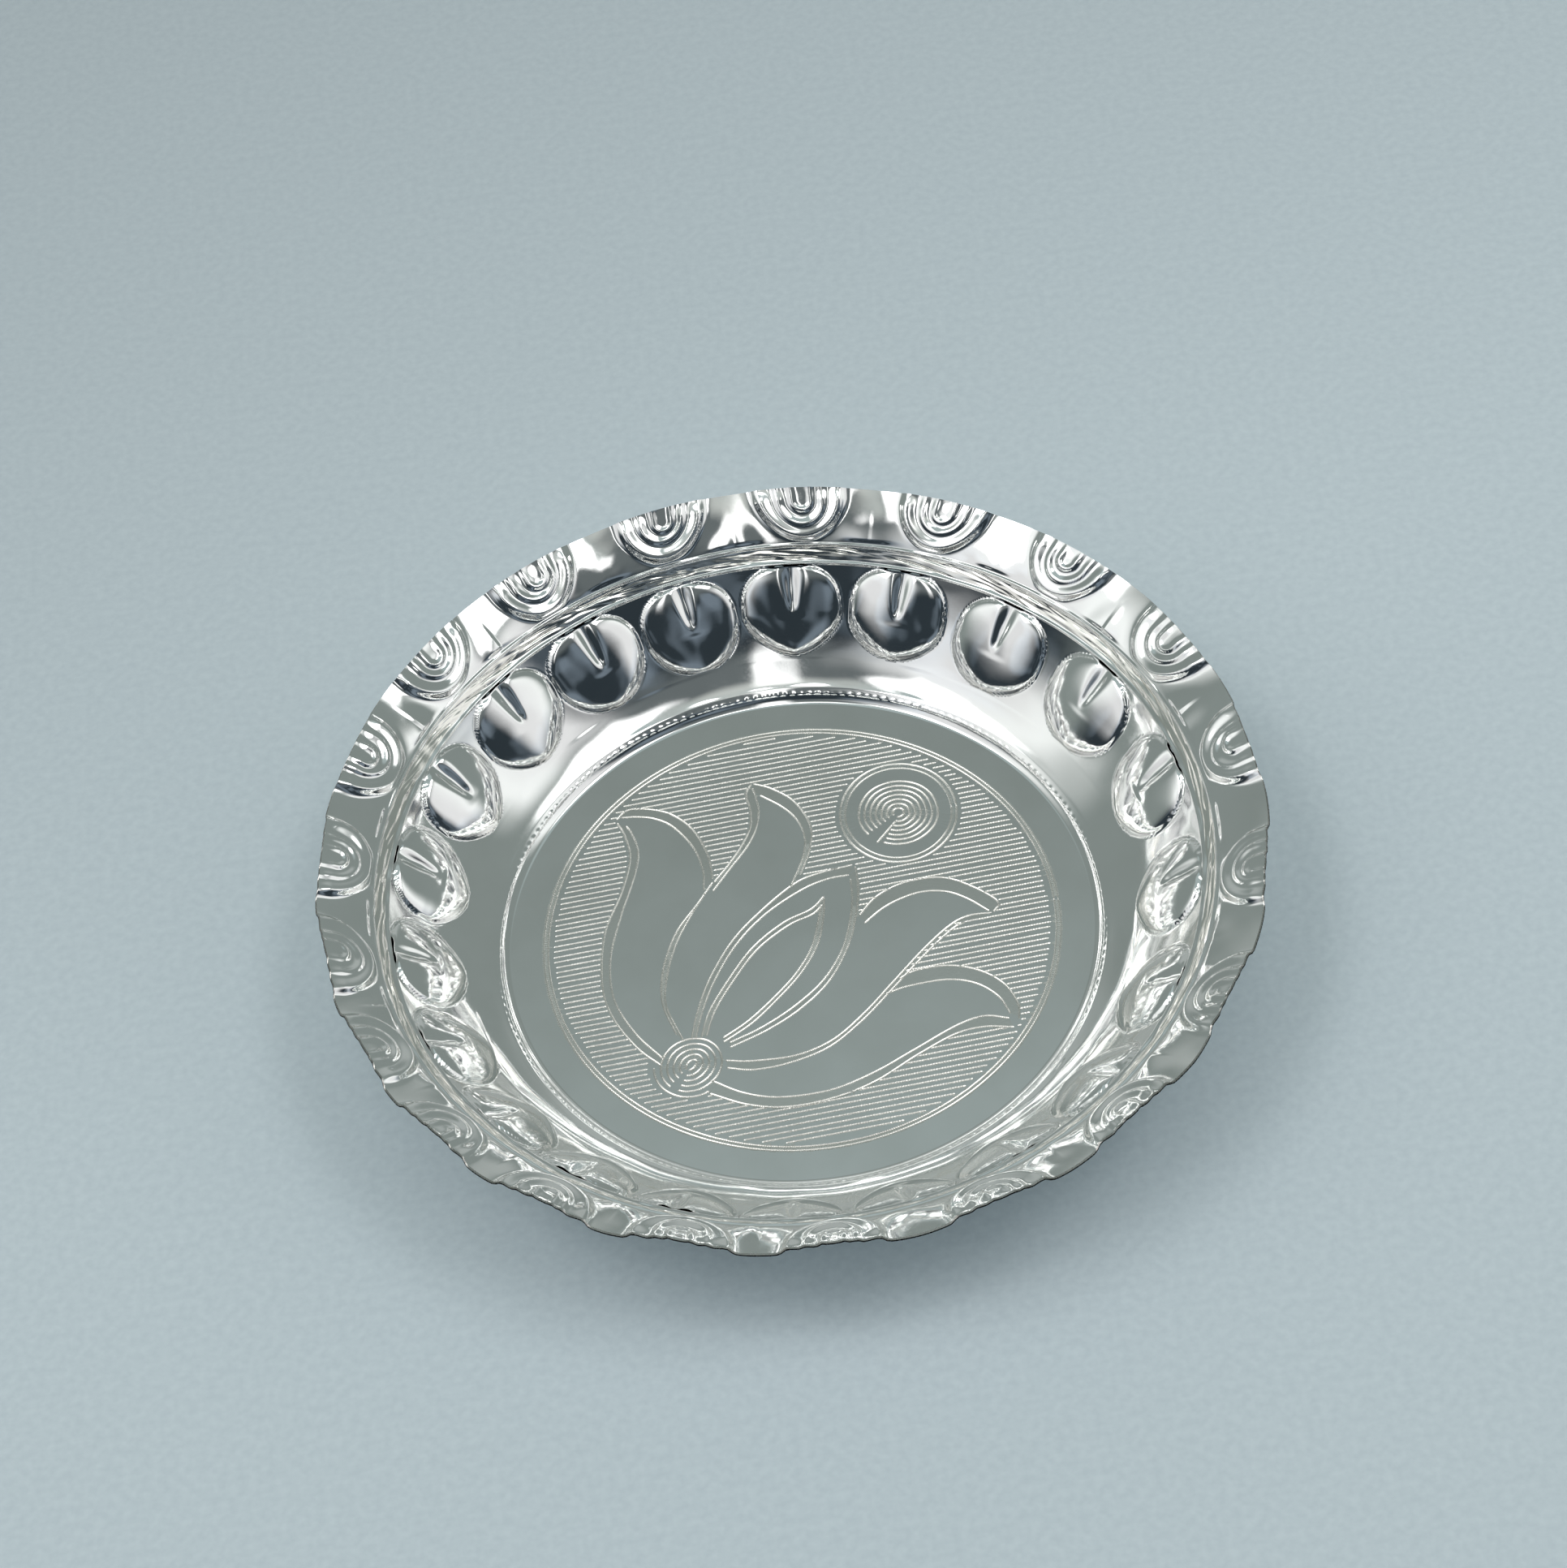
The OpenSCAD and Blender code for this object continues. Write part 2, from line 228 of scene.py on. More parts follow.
STROKES, STROKE_DEPTH = 420, 0.085
STROKE_SPAN = 40    # columns of the grid that a stroke reaches to either side


def hammered(t, radius):
    """Short slanting hammer strokes over the bead."""
    rng = np.random.default_rng(SEED + 7)
    cols = t.shape[1]
    across = t * math.hypot(BAND[0] - WALL[0], BAND[1] - WALL[1])
    dented = np.zeros_like(t)
    for _ in range(STROKES):
        middle, at = rng.uniform(0, cols), rng.uniform(0.25, 0.75) * across[-1, 0]
        length, width = rng.uniform(1.2, 3.2), rng.uniform(0.13, 0.2)
        lean = math.radians(rng.uniform(-2, 12))
        span = np.arange(int(middle) - STROKE_SPAN, int(middle) + STROKE_SPAN + 1)
        x = (span - middle)[None, :] * TAU / cols * radius[:, :1]
        y = across[:, :1] - at
        a, c = x * math.cos(lean) + y * math.sin(lean), y * math.cos(lean) - x * math.sin(lean)
        dent = STROKE_DEPTH * rng.uniform(0.5, 1) * bump(a, length) * bump(c, width)
        dented[:, span % cols] -= dent
    return dented * smooth(t / 0.2) * smooth((1 - t) / 0.2)


def u_distance(x, y, half, foot):
    """Signed distance to a U-shaped line, positive outside: half-width, and height of its foot."""
    return np.hypot(x, np.minimum(y - foot - half, 0)) - half


FAN_RELIEF, RIM_LENGTH = 0.75, math.hypot(RIM_W, RIM_H)
# The three nested lines of a fan: half-width, and height of the foot above the bead
OUTER_HALF, OUTER_FOOT = 4.7, 0.75
INNER_HALF, INNER_FOOT = 2.6, 2.5
KERNEL_HALF, KERNEL_FOOT = 1.15, 4.0


def fan_lift(t, turn, radius):
    """The fans, each of nested U-shaped ridges: x runs across a fan and y out to the edge."""
    x, number, pitch = FANS.local(turn, radius)
    vary = FANS.random[:, number]
    y = t * RIM_LENGTH + 0.25 * vary[0]
    x = x / (1 + 0.03 * (y - 3)) + 0.12 * vary[1] * (y - 3.5)
    size = 1 + 0.05 * vary[2]
    outer = u_distance(x, y, OUTER_HALF * size, OUTER_FOOT)
    inner = u_distance(x + 0.3 * vary[3], y, INNER_HALF * size, INNER_FOOT + 0.3 * vary[4])
    kernel = u_distance(x - 0.3 * vary[5], y, KERNEL_HALF * size, KERNEL_FOOT)
    ridge = np.where(outer > 0, bump(outer, 0.55), bump(outer, 1.35))
    lift = FAN_RELIEF * ridge + 0.22 * smooth(-outer / 2.2)
    lift = lift + 0.38 * np.where(inner > 0, bump(inner, 0.42), 0.45 + 0.55 * bump(inner, 0.6))
    uneven = 1 + 0.25 * np.sin(1.3 * y + 3 * vary[5])
    core = np.where(kernel > 0, bump(kernel, 0.34), 0.3 + 0.7 * bump(kernel, 0.4))
    lift = lift + 0.3 * uneven * core
    # the plain facet between two fans: a low swelling with its foot on the bead
    gap_x = pitch / 2 - np.abs(x)
    swelling = (0.26 + 0.1 * vary[6]) * bump(gap_x, 2.1) * (1 - smooth(y / 5.6))
    lift = lift + swelling
    return lift * smooth(t / 0.09) * (1 - 0.3 * smooth((t - 0.75) / 0.25))


RUFFLE_H, RUFFLE_W = 0.6, 0.4


def ruffle(t, turn):
    """Offset out and up of the ruffled edge: at a fan it stands higher and further in."""
    wave = np.cos(np.radians(FANS.count * turn)) / 2 * t * t
    return np.stack([-RUFFLE_W * wave, RUFFLE_H * wave], -1)


# ---- Materials ----------------------------------------------------------------------------------


class Nodes:
    """The node tree of a material or of the world, with short calls for what it needs."""

    def __init__(self, owner, coordinates):
        owner.use_nodes = True
        self.tree = owner.node_tree
        self.place = self.add("ShaderNodeTexCoord").outputs[coordinates]

    def add(self, kind, **values):
        node = self.tree.nodes.new(kind)
        for key, value in values.items():
            setattr(node, key, value)
        return node

    def link(self, source, target):
        self.tree.links.new(source, target)

    def feed(self, value, socket):
        """Give a socket another node's output, a colour or a number."""
        if isinstance(value, bpy.types.NodeSocket):
            self.link(value, socket)
        elif isinstance(value, tuple):
            socket.default_value = (*value, 1)
        else:
            socket.default_value = value

    def scaled(self, scale):
        mapping = self.add("ShaderNodeMapping")
        mapping.inputs["Scale"].default_value = scale
        self.link(self.place, mapping.inputs["Vector"])
        return mapping.outputs["Vector"]

    def noise(self, scale, detail=3, stretch=(1, 1, 1), rough=0.5):
        node = self.add("ShaderNodeTexNoise")
        node.inputs["Scale"].default_value = scale
        node.inputs["Detail"].default_value = detail
        node.inputs["Roughness"].default_value = rough
        self.link(self.scaled(stretch), node.inputs["Vector"])
        return node.outputs["Fac"]

    def spread(self, source, low, high, to_low=0, to_high=1, kind="LINEAR"):
        node = self.add("ShaderNodeMapRange", interpolation_type=kind)
        ends = {"From Min": low, "From Max": high, "To Min": to_low, "To Max": to_high}
        for key, value in ends.items():
            node.inputs[key].default_value = value
        self.link(source, node.inputs["Value"])
        return node.outputs["Result"]

    def math(self, operation, a, b=0):
        node = self.add("ShaderNodeMath", operation=operation)
        self.feed(a, node.inputs[0])
        self.feed(b, node.inputs[1])
        return node.outputs["Value"]

    def mix(self, factor, a, b, blend="MIX"):
        node = self.add("ShaderNodeMix", data_type="RGBA", blend_type=blend)
        self.feed(factor, node.inputs["Factor"])
        colour_a, colour_b = node.inputs[6:8]
        self.feed(a, colour_a)
        self.feed(b, colour_b)
        return node.outputs[2]

    def ramp(self, source, *stops):
        node = self.add("ShaderNodeValToRGB")
        elements = node.color_ramp.elements
        for element, (position, colour) in zip(elements, stops):
            element.position = position
            element.color = (*colour, 1)
        self.link(source, node.inputs["Fac"])
        return node.outputs["Color"]

    def bumped(self, height, strength, distance):
        node = self.add("ShaderNodeBump")
        node.inputs["Strength"].default_value = strength
        node.inputs["Distance"].default_value = distance
        self.link(height, node.inputs["Height"])
        return node.outputs["Normal"]


def new_material(name):
    """A material, its nodes and its shader."""
    material = bpy.data.materials.new(name)
    n = Nodes(material, "Object")
    return material, n, n.tree.nodes["Principled BSDF"]


def silver(name, light, dark, rough, grain, wave, wave_size, brush=(1, 1, 1)):
    """Worn silver: slow colour change, fine polishing scratches and soft unevenness of the sheet.

    light and dark are the two tones, rough is the range of roughness, grain the height of the
    scratches and wave that of the unevenness, both in metres.
    """
    material, n, shader = new_material(name)
    shader.inputs["Metallic"].default_value = 1
    n.link(n.ramp(n.noise(90, 4), (0.35, dark), (0.62, light)), shader.inputs["Base Color"])
    scratch = n.noise(2600, 2, brush, 0.6)
    wear = n.math("MULTIPLY", n.noise(260, 3), scratch)
    n.link(n.spread(wear, 0.15, 0.4, *rough), shader.inputs["Roughness"])
    slow = n.math("MULTIPLY", n.noise(wave_size, 2), wave / grain)
    n.link(n.bumped(n.math("ADD", slow, scratch), 1, grain), shader.inputs["Normal"])
    return material


CLEAN, SOFT = (0.955, 0.955, 0.945), (0.90, 0.90, 0.885)
CUT_LIGHT, CUT_DARK = (0.92, 0.89, 0.84), (0.84, 0.81, 0.76)
MATTE_LIGHT, MATTE_DARK = (0.95, 0.93, 0.90), (0.90, 0.88, 0.84)
GROOVE_LIGHT, GROOVE_DARK = (0.95, 0.93, 0.88), (0.90, 0.88, 0.83)
UNDER_LIGHT, UNDER_DARK = (0.88, 0.88, 0.86), (0.78, 0.78, 0.76)
MATERIALS = {
    "mirror": silver("mirror_silver", CLEAN, SOFT, (0.05, 0.10), 4e-7, 5e-6, 130),
    "chased": silver("chased_silver", CLEAN, SOFT, (0.05, 0.11), 6e-7, 5e-6, 420, (1, 1, 3)),
    "cut": silver("cut_silver", CUT_LIGHT, CUT_DARK, (0.22, 0.32), 1e-6, 1e-6, 3000),
    "matte": silver("matte_silver", MATTE_LIGHT, MATTE_DARK, (0.08, 0.14), 1e-6, 3e-6, 3000),
    "groove": silver("groove_silver", GROOVE_LIGHT, GROOVE_DARK, (0.09, 0.18), 2e-6, 4e-6, 1200),
    "under": silver("under_silver", UNDER_LIGHT, UNDER_DARK, (0.14, 0.26), 2e-6, 1.5e-5, 500),
}

# ---- Meshes -------------------------------------------------------------------------------------


def make_piece(node, points, faces, normals, uvs, slots, materials):
    """The piece that stands in for a node. faces is a list of (n, k) arrays of point numbers;
    normals and uvs go by corner, slots by face."""
    mesh = bpy.data.meshes.new(node)
    corners = np.concatenate([f.ravel() for f in faces])
    sizes = np.concatenate([np.full(len(f), f.shape[1]) for f in faces])
    mesh.vertices.add(len(points))
    mesh.loops.add(len(corners))
    mesh.polygons.add(len(sizes))
    mesh.vertices.foreach_set("co", (points * MM).astype(np.float32).ravel())
    mesh.loops.foreach_set("vertex_index", corners.astype(np.int32))
    starts = np.concatenate([[0], np.cumsum(sizes)[:-1]])
    mesh.polygons.foreach_set("loop_start", starts.astype(np.int32))
    mesh.polygons.foreach_set("material_index", slots.astype(np.int32))
    mesh.update(calc_edges=True)
    uv = mesh.uv_layers.new(name="OFBake")
    uv.data.foreach_set("uv", uvs.astype(np.float32).ravel())
    if normals is None:
        mesh.shade_flat()
    else:
        mesh.shade_smooth()
        mesh.normals_split_custom_set(normals.astype(np.float32))
    for key in materials:
        mesh.materials.append(MATERIALS[key])
    mesh.validate()
    piece = bpy.data.objects.new(node, mesh)
    bpy.context.scene.collection.objects.link(piece)
    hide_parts(node)
    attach(piece, "root")


UV_BANDS = 4


def ring_uv(i, j, rows, cols, back):
    """A ring unrolled into UV_BANDS strips, with the back's strips above the front's."""
    per_band = cols // UV_BANDS
    band = np.minimum(j[:, :1] // per_band, UV_BANDS - 1)
    u = (j - band * per_band) / per_band
    v = (band + UV_BANDS * back + 0.02 + 0.96 * i / rows) / (2 * UV_BANDS)
    return np.stack([0.002 + 0.996 * u, v], -1)


def grid(rows, cols):
    """Row and column of the four corners of every cell."""
    i, j = np.meshgrid(np.arange(rows), np.arange(cols), indexing="ij")
    i, j = i.ravel(), j.ravel()
    return np.stack([i, i + 1, i + 1, i], -1), np.stack([j, j, j + 1, j + 1], -1)


def ring_surface(a, b, rows, cols, azimuth, lift, edge, dent):
    """Upper surface of a ring zone on a grid: points, their normals and those of the section."""
    t = np.linspace(0, 1, rows + 1)[:, None] + np.zeros((1, cols))
    turn = 360 * np.arange(cols)[None, :] / cols + np.zeros((rows + 1, 1))
    base, inward = section(a, b, t)
    height = lift(t, turn, base[..., 0])
    angle = np.radians(azimuth(turn))
    around = np.stack([np.cos(angle), np.sin(angle)], -1)
    solid = np.concatenate([base[..., :1] * around, base[..., 1:]], -1)
    amount, size = dent
    window = smooth(t / 0.12) * (1 if edge is not None else smooth((1 - t) / 0.12))
    height = height + amount * dents(solid, size, SEED + rows) * window
    flat = base + height[..., None] * inward
    if edge is not None:
        flat = flat + edge(t, turn)
    points = np.concatenate([flat[..., :1] * around, flat[..., 1:]], -1)
    across = np.roll(points, -1, 1) - np.roll(points, 1, 1)
    along = np.gradient(points, axis=0)
    normals = np.cross(along, across)
    normals /= np.linalg.norm(normals, axis=-1, keepdims=True)
    plain = np.concatenate([inward[..., :1] * around, inward[..., 1:]], -1)
    normals[0] = plain[0]
    if edge is None:
        normals[-1] = plain[-1]
    return points, normals, plain


def ring_piece(node, a, b, rows, cols, materials, azimuth=None, lift=None, edge=None,
               dent=(0, 5), groove=None):
    """One ring zone as a closed sheet. The lower side has half the rows and columns of the upper.

    lift is the relief, edge the ruffle of a cut edge, dent the height and size of soft dents and
    groove the half-width of the third material's strip, as a share of the zone.
    """
    azimuth = azimuth or (lambda turn: turn)
    lift = lift or (lambda t, turn, radius: np.zeros_like(t))
    points, normals, inward = ring_surface(a, b, rows, cols, azimuth, lift, edge, dent)
    low_points = points[::2, ::2] - SHEET_T * inward[::2, ::2]
    low_normals = -normals[::2, ::2]
    rows2, cols2 = rows // 2, cols // 2
    first = points.shape[0] * cols
    all_points = np.concatenate([points.reshape(-1, 3), low_points.reshape(-1, 3)])
    faces, corner_normals, uvs, slots = [], [], [], []

    i, j = grid(rows, cols)
    faces.append(i * cols + j % cols)
    corner_normals.append(normals[i, j % cols].reshape(-1, 3))
    uvs.append(ring_uv(i, j, rows, cols, 0).reshape(-1, 2))
    middle = (i[:, 0] + 0.5) / rows
    slots.append(np.zeros(len(i)) if groove is None else (np.abs(middle - 0.5) < groove) * 2)

    i, j = grid(rows2, cols2)
    i, j = i[:, ::-1], j[:, ::-1]
    faces.append(first + i * cols2 + j % cols2)
    corner_normals.append(low_normals[i, j % cols2].reshape(-1, 3))
    uvs.append(ring_uv(i, j, rows2, cols2, 1).reshape(-1, 2))
    slots.append(np.ones(len(i)))

    k = np.arange(cols2)
    for row, row2, outward in ((0, 0, -1), (rows, rows2, 1)):
        upper = [row * cols + (2 * k + step) % cols for step in (0, 1, 2)]
        lower = [first + row2 * cols2 + (k + step) % cols2 for step in (1, 0)]
        rim = np.stack(upper + lower, -1)
        if outward > 0:
            rim = rim[:, ::-1]
        faces.append(rim)
        tangent = np.cross(np.roll(points[row], -1, 0) - points[row], inward[row]) * outward
        tangent = -tangent / np.linalg.norm(tangent, axis=-1, keepdims=True)
        corner = np.repeat(tangent[2 * k][:, None], 5, 1)
        if edge is not None and outward > 0:
            # a rounded cut edge: the upper corners carry the upper surface's normal
            top_normals = [normals[row, (2 * k + step) % cols] for step in (0, 1, 2)][::-1]
            corner[:, 2:] = np.stack(top_normals, 1)
        corner_normals.append(corner.reshape(-1, 3))
        uvs.append(np.tile([[0.5, 0.9985 if row > 0 else 0.0005]], (rim.size, 1)))
        slots.append(np.full(len(k), len(materials) - 1 if edge is not None and outward > 0 else 0))

    make_piece(node, all_points, faces, np.concatenate(corner_normals),
               np.concatenate(uvs), np.concatenate(slots), materials)


# ---- Engraved disc ------------------------------------------------------------------------------

# Each petal side as two wriggle-cut lines with a matte band between them: outer line, inner line.
OUTLINES = [
    # first petal: left side, right shoulder, right side shared with the second petal
    ([(-18.9, -17.4), (-21.8, -14.1), (-24.4, -9.1), (-25.3, -3.9), (-24.4, 3.6), (-21.8, 9.7),
      (-20.3, 14.9), (-20.7, 18.8), (-21.5, 20.9)],
     [(-18.8, -16.2), (-21.8, -12), (-24, -6.5), (-24, -0.4), (-22.3, 5.7), (-19.9, 12.3),
      (-19.2, 16), (-19.8, 19), (-20.4, 20.2)]),
    ([(-21.6, 21.3), (-19.9, 22.7), (-17, 22.3), (-14.4, 21), (-12, 18.2), (-10.5, 14),
      (-10.2, 10)],
     [(-20.9, 21.6), (-18.8, 21.4), (-16.6, 20.7), (-14.4, 19), (-12.2, 15.4), (-11.3, 11.6),
      (-11.5, 8.4)]),
    ([(-10.2, 9.5), (-12.6, 6.2), (-15.6, 2.2), (-17.6, -3), (-18.1, -8), (-16.8, -13)],
     [(-11.4, 7.8), (-13.4, 4.8), (-15.7, 0.6), (-17.2, -4), (-17.7, -8.4), (-16.1, -13.8)]),
    # second petal: left side, right shoulder
    ([(-10.1, 9.4), (-7.9, 12), (-6, 14.7), (-4.7, 17.4), (-4.4, 20.2), (-4.7, 22.7),
      (-3.9, 24.3)],
     [(-10.4, 8), (-7.9, 11.2), (-5.5, 14.2), (-4.1, 16.8), (-3.4, 19.6), (-3.5, 22),
      (-3.8, 23.6)]),
    ([(-3.7, 24.3), (-1.4, 23.1), (1.3, 20.5), (2.9, 16.4), (2.4, 12.7), (0.8, 8.8)],
     [(-3, 22.3), (-0.3, 19.9), (1.4, 17.4), (2, 14.4), (1.3, 11.2), (-0.6, 7.2)]),
    # middle petal
    ([(-15, -13.8), (-14, -10.2), (-12.1, -5.5), (-8.8, -0.2), (-4.9, 3.8), (0, 7.6), (3.6, 8.8),
      (7.5, 9.3)],
     [(-14.5, -13.8), (-13.4, -10.2), (-11.4, -5.6), (-8.2, -0.6), (-4.2, 3.4), (0.6, 6.4),
      (4, 7.6), (6.9, 7.8)]),
    ([(7.8, 9), (7.8, 5.7), (7.1, 1.8), (5.6, -2.9), (2.6, -8), (-1.4, -11.6), (-5.8, -14.1),
      (-10.5, -15.9)],
     [(7, 7.2), (6.8, 3.6), (6, 0), (4.6, -3.8), (1.8, -7.9), (-2.2, -11.2), (-6.4, -13.6),
      (-10.5, -15.2)]),
    # leaf inside the middle petal
    ([(-13.8, -13.8), (-12.5, -10.2), (-9.6, -5.7), (-6.2, -1.4), (-2, 1.8), (1.6, 3.3), (3.4, 5)],
     [(-13.2, -13.8), (-11.8, -10.2), (-9, -5.9), (-5.6, -1.7), (-1.4, 1.3), (1.7, 2.5),
      (3.1, 3.8)]),
    ([(3.4, 4.8), (3, 2), (1.8, -2.2), (-0.6, -6.1), (-3.8, -9.5), (-7.4, -12.7), (-11.2, -15)],
     [(2.9, 3.6), (2.3, 1.4), (1, -2.6), (-1.3, -6.2), (-4.3, -9.3), (-7.8, -12.3),
      (-11.2, -14.4)]),
    # fourth petal: upper shoulder, lower side
    ([(7.4, 1.3), (9.5, 3.6), (12.2, 5.1), (15, 5.7), (18.4, 5.5), (21.4, 3.9), (24.7, 0.8),
      (24, -0.9)],
     [(7.9, 0), (10.2, 1.8), (12.6, 3), (15.5, 3.7), (18.5, 3.3), (21, 1.8), (23.5, -0.6)]),
    ([(23.8, -0.9), (20.9, -0.9), (18.4, -2), (14.8, -5), (10.2, -9.6), (6.4, -13.4), (2.2, -16.7),
      (-2.5, -18.3), (-7.9, -18.3), (-11.2, -17.7)],
     [(22, -1.6), (19.6, -2), (17.2, -3.7), (13.6, -7), (9.4, -11.2), (5.6, -14.8), (1.4, -17.8),
      (-3.6, -19.3), (-7.9, -19.6), (-11.2, -18.8)]),
    # fifth petal: upper shoulder, lower side
    ([(11.2, -9), (13.4, -8.1), (17.4, -8), (21, -9.3), (23.8, -11.8), (25.1, -15), (24.9, -17.3)],
     [(9.3, -11), (12.2, -10.3), (17, -10.1), (20.4, -11.2), (22.9, -13.6), (24, -16.4)]),
    ([(24.2, -18.4), (20.8, -17.8), (17.2, -18.2), (12.2, -20.5), (6.5, -23.6), (1.1, -25.2),
      (-4.4, -25.6), (-9.2, -24.5), (-13.6, -22.2)],
     [(23.8, -17), (20.7, -16.2), (17.2, -17.1), (11.7, -19.8), (6.5, -22.3), (1, -24),
      (-4.9, -24.1), (-9.4, -22.8), (-13.3, -20.3)]),
]
# Closed shapes that the hatch leaves plain
PETALS = [
    [(-18.9, -17.4), (-21.8, -14.1), (-24.4, -9.1), (-25.3, -3.9), (-24.4, 3.6), (-21.8, 9.7),
     (-20.3, 14.9), (-20.7, 18.8), (-21.6, 21.3), (-19.9, 22.7), (-17, 22.3), (-14.4, 21),
     (-12, 18.2), (-10.5, 14), (-10.2, 9.8), (-9, -1), (-14, -16)],
    [(-14, -16), (-10.2, 9.4), (-7.9, 12), (-6, 14.7), (-4.7, 17.4), (-4.4, 20.2), (-4.7, 22.7),
     (-3.7, 24.4), (-1.4, 23.1), (1.3, 20.5), (2.9, 16.4), (2.4, 12.7), (0.8, 8.4), (0, 0)],
    [(-14, -16), (-8.8, -0.2), (-4.9, 3.8), (0, 7.8), (3.6, 8.9), (7.6, 9.4), (7.8, 5.7),
     (7.1, 1.8), (5.6, -2.9), (-1, -14)],
    [(-14, -18), (5.6, -2.9), (7.3, 1.2), (9.5, 3.6), (12.2, 5.1), (15, 5.7), (18.4, 5.5),
     (21.4, 3.9), (24.7, 0.8), (24, -0.9), (20.9, -0.9), (18.4, -2), (14.8, -5), (10.2, -9.6),
     (0, -19)],
    [(-14, -18), (0, -19), (9, -11), (11.2, -9), (13.4, -8.1), (17.4, -8), (21, -9.3),
     (23.8, -11.8), (25.1, -15), (24.9, -17.3), (24.2, -18.4), (20.8, -17.8), (17.2, -18.2),
     (12.2, -20.5), (6.5, -23.6), (1.1, -25.2), (-4.4, -25.6), (-9.2, -24.5), (-13.6, -22.2)],
]
DRAWN_R = 32.5
SUN, SUN_R, SUN_TALL = (14.2, 16.6), 7.4, 1.06
CALYX, CALYX_R, CALYX_TILT = (-15.4, -17.7), 4.6, 50
HATCH_PITCH, HATCH_RISE, HATCH_COUNT = 0.8, 4, 45
# Length of one beat of a wriggle cut: in the hatch, in the drawn lines and in the two borders
WRIGGLE, DRAWN_WRIGGLE, BORDER_WRIGGLE = 0.17, 0.12, (0.16, 0.14)
CUT_DEPTH, CUT_HALF = 0.072, 0.16


def spline(points, step):
    """Points every step mm on the smooth curve through a list of points."""
    p = np.array(points, float)
    padded = np.concatenate([2 * p[:1] - p[1:2], p, 2 * p[-1:] - p[-2:-1]])
    t = np.linspace(0, 1, 12, endpoint=False)[:, None]
    curve = []
    for a, b, c, d in zip(padded, padded[1:], padded[2:], padded[3:]):
        curve.append(0.5 * (2 * b + (c - a) * t + (2 * a - 5 * b + 4 * c - d) * t**2
                            + (3 * b - a - 3 * c + d) * t**3))
    curve = np.concatenate(curve + [p[-1:]])
    length = np.concatenate([[0], np.cumsum(np.linalg.norm(np.diff(curve, axis=0), axis=1))])
    even = np.linspace(0, length[-1], max(3, int(length[-1] / step)))
    return np.stack([np.interp(even, length, curve[:, k]) for k in (0, 1)], -1)


def ellipse(centre, wide, tall, tilt, step, start=0, end=360):
    """An arc of a tilted ellipse, angles in degrees."""
    count = max(8, int(math.radians(end - start) * (wide + tall) / 2 / step))
    a = np.radians(np.linspace(start, end, count))
    x, y = wide * np.cos(a), tall * np.sin(a)
    c, s = math.cos(math.radians(tilt)), math.sin(math.radians(tilt))
    return np.stack([centre[0] + x * c - y * s, centre[1] + x * s + y * c], -1)


def inside(points, polygon):
    """Which of the points lie inside a closed polygon."""
    x, y = points[:, 0], points[:, 1]
    hit = np.zeros(len(points), bool)
    for (x0, y0), (x1, y1) in zip(polygon, np.roll(polygon, -1, 0)):
        if y0 != y1:
            hit ^= ((y0 > y) != (y1 > y)) & (x < x0 + (y - y0) * (x1 - x0) / (y1 - y0))
    return hit


def runs(keep):
    """Start and end of every unbroken run of True."""
    edges = np.flatnonzero(np.diff(np.concatenate([[0], keep.astype(int), [0]])))
    return zip(edges[::2], edges[1::2])


def hatch_lines(scale):
    """Parallel cuts over the whole disc, outside the flower and the sun."""
    plain = [np.array(p) * scale for p in PETALS]
    plain.append(ellipse(np.array(SUN) * scale, SUN_R + 0.35, (SUN_R + 0.3) * SUN_TALL, 0, 0.5))
    plain.append(ellipse(np.array(CALYX) * scale, CALYX_R + 0.5, CALYX_R + 0.5, 0, 0.5))
    reach_r = MEDALLION_R - 1.15
    rise = math.tan(math.radians(HATCH_RISE))
    rng = np.random.default_rng(SEED)
    lines = []
    for k in np.arange(-HATCH_COUNT, HATCH_COUNT + 1):
        x = np.arange(-reach_r, reach_r, WRIGGLE) + rng.uniform(0, WRIGGLE)
        y = k * HATCH_PITCH + rise * x + 0.03 * rng.normal()
        line = np.stack([x, y], -1)
        keep = np.hypot(x, y) < reach_r - 0.25 * rng.random()
        for shape in plain:
            keep &= ~inside(line, shape)
        for start, end in runs(keep):
            if end - start > 4:
                lines.append(line[start + 1:end - 1])
    return lines


def drawn_strokes(scale):
    """The drawn lines of the disc, as (points, half width, depth)."""
    beat = DRAWN_WRIGGLE
    strokes = []
    for sides in OUTLINES:
        for side in sides:
            strokes.append((spline(np.array(side) * scale, beat), 0.14, 0.07))
    sun = np.array(SUN) * scale
    for radius, half, depth in ((SUN_R, 0.16, 0.07), (SUN_R - 0.65, 0.12, 0.05)):
        strokes.append((ellipse(sun, radius, radius * SUN_TALL, 0, beat), half, depth))
    for ring in np.arange(0.7, 5.2, 0.72):
        strokes.append((ellipse(sun, ring, ring, 0, beat, -120, 215), 0.16, 0.08))
    strokes.append((spline([sun + (-0.3, -1.1), sun + (-3.3, -4.4)], beat), 0.14, 0.07))
    calyx = np.array(CALYX) * scale
    for ring in np.arange(0.5, 4.2, 0.78):
        turns = ellipse(calyx, ring + 0.35, ring, CALYX_TILT, beat, -170, 175)
        strokes.append((turns, 0.15, 0.08))
    collar = ellipse(calyx, CALYX_R + 0.15, CALYX_R - 0.1, CALYX_TILT, beat, 125, 245)
    strokes.append((collar, 0.15, 0.08))
    borders = ((MEDALLION_R - 0.28, 0.06), (MEDALLION_R - 0.8, 0.07))
    for (radius, depth), border_beat in zip(borders, BORDER_WRIGGLE):
        strokes.append((ellipse(np.zeros(2), radius, radius, 0, border_beat), 0.13, depth))
    return strokes


